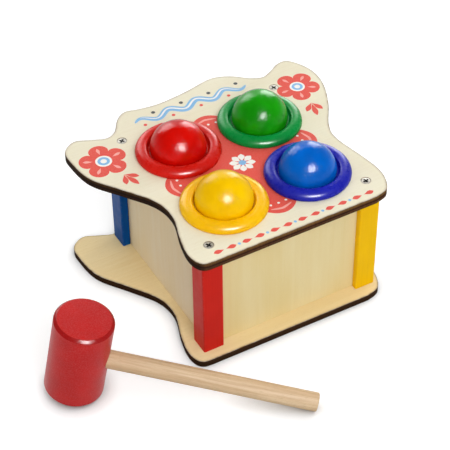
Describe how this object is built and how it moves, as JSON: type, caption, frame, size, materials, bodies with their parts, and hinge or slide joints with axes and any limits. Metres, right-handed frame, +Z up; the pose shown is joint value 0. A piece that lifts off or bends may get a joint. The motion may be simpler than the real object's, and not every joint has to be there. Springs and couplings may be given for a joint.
{
  "type": "ball pounding bench",
  "caption": "Wooden pounding bench: balls sit in moulded rings in a lobed top board, drop when struck with the mallet and roll down an inner ramp to the open back.",
  "frame": {"origin": "middle of the four-post frame, on the underside of the base board", "axes": "+Z up, +Y towards the open back where the balls roll out, +X to the right as seen from the front"},
  "size_m": [0.3111, 0.2757, 0.1375],
  "materials": {
    "pale_ply": "satin lacquered birch plywood, laser-cut edge",
    "warm_ply": "satin lacquered birch plywood, laser-cut edge",
    "panel_ply": "satin birch plywood, upright grain",
    "ramp_ply": "bare birch plywood",
    "red_paint": "satin paint on wood",
    "green_paint": "satin paint on wood",
    "yellow_paint": "satin paint on wood",
    "navy_paint": "satin paint on wood",
    "red_ball_paint": "gloss paint on a wooden ball",
    "green_ball_paint": "gloss paint on a wooden ball",
    "yellow_ball_paint": "gloss paint on a wooden ball",
    "blue_ball_paint": "gloss paint on a wooden ball",
    "red_plastic": "gloss moulded",
    "green_plastic": "gloss moulded",
    "yellow_plastic": "gloss moulded",
    "blue_plastic": "gloss moulded",
    "mallet_paint": "satin stain and lacquer on wood",
    "dowel": "bare sanded beech",
    "zinc": "zinc plated, cross recess"
  },
  "bodies": {
    "bench": {"base_board": "warm_ply", "top_board": "pale_ply", "post_front_left": "red_paint", "post_front_right": "yellow_paint", "post_back_left": "navy_paint", "post_back_right": "green_paint", "front_panel": "panel_ply", "left_panel": "panel_ply", "right_panel": "panel_ply", "ramp": "ramp_ply", "ramp_wedge_left": "ramp_ply", "ramp_wedge_right": "ramp_ply", "ring_red": "red_plastic", "ring_green": "green_plastic", "ring_yellow": "yellow_plastic", "ring_blue": "blue_plastic", "screw_top_front_left": "zinc", "screw_top_front_right": "zinc", "screw_top_back_left": "zinc", "screw_top_back_right": "zinc", "screw_bottom_front_left": "zinc", "screw_bottom_front_right": "zinc", "screw_bottom_back_left": "zinc", "screw_bottom_back_right": "zinc"},
    "ball_red": {"ball_red": "red_ball_paint"},
    "ball_green": {"ball_green": "green_ball_paint"},
    "ball_yellow": {"ball_yellow": "yellow_ball_paint"},
    "ball_blue": {"ball_blue": "blue_ball_paint"},
    "mallet": {"mallet_head": "mallet_paint", "mallet_handle": "dowel"}
  },
  "joints": [
    {"name": "ball_red_drop", "type": "slide", "parent": "bench", "child": "ball_red", "axis": [0, 0, 1], "range_m": [-0.0722, 0.03]},
    {"name": "ball_green_drop", "type": "slide", "parent": "bench", "child": "ball_green", "axis": [0, 0, 1], "range_m": [-0.0739, 0.03]},
    {"name": "ball_yellow_drop", "type": "slide", "parent": "bench", "child": "ball_yellow", "axis": [0, 0, 1], "range_m": [-0.0625, 0.03]},
    {"name": "ball_blue_drop", "type": "slide", "parent": "bench", "child": "ball_blue", "axis": [0, 0, 1], "range_m": [-0.0606, 0.03]},
    {"name": "mallet_lift", "type": "slide", "parent": "bench", "child": "mallet", "axis": [0, 0, 1], "range_m": [0, 0.12]}
  ]
}
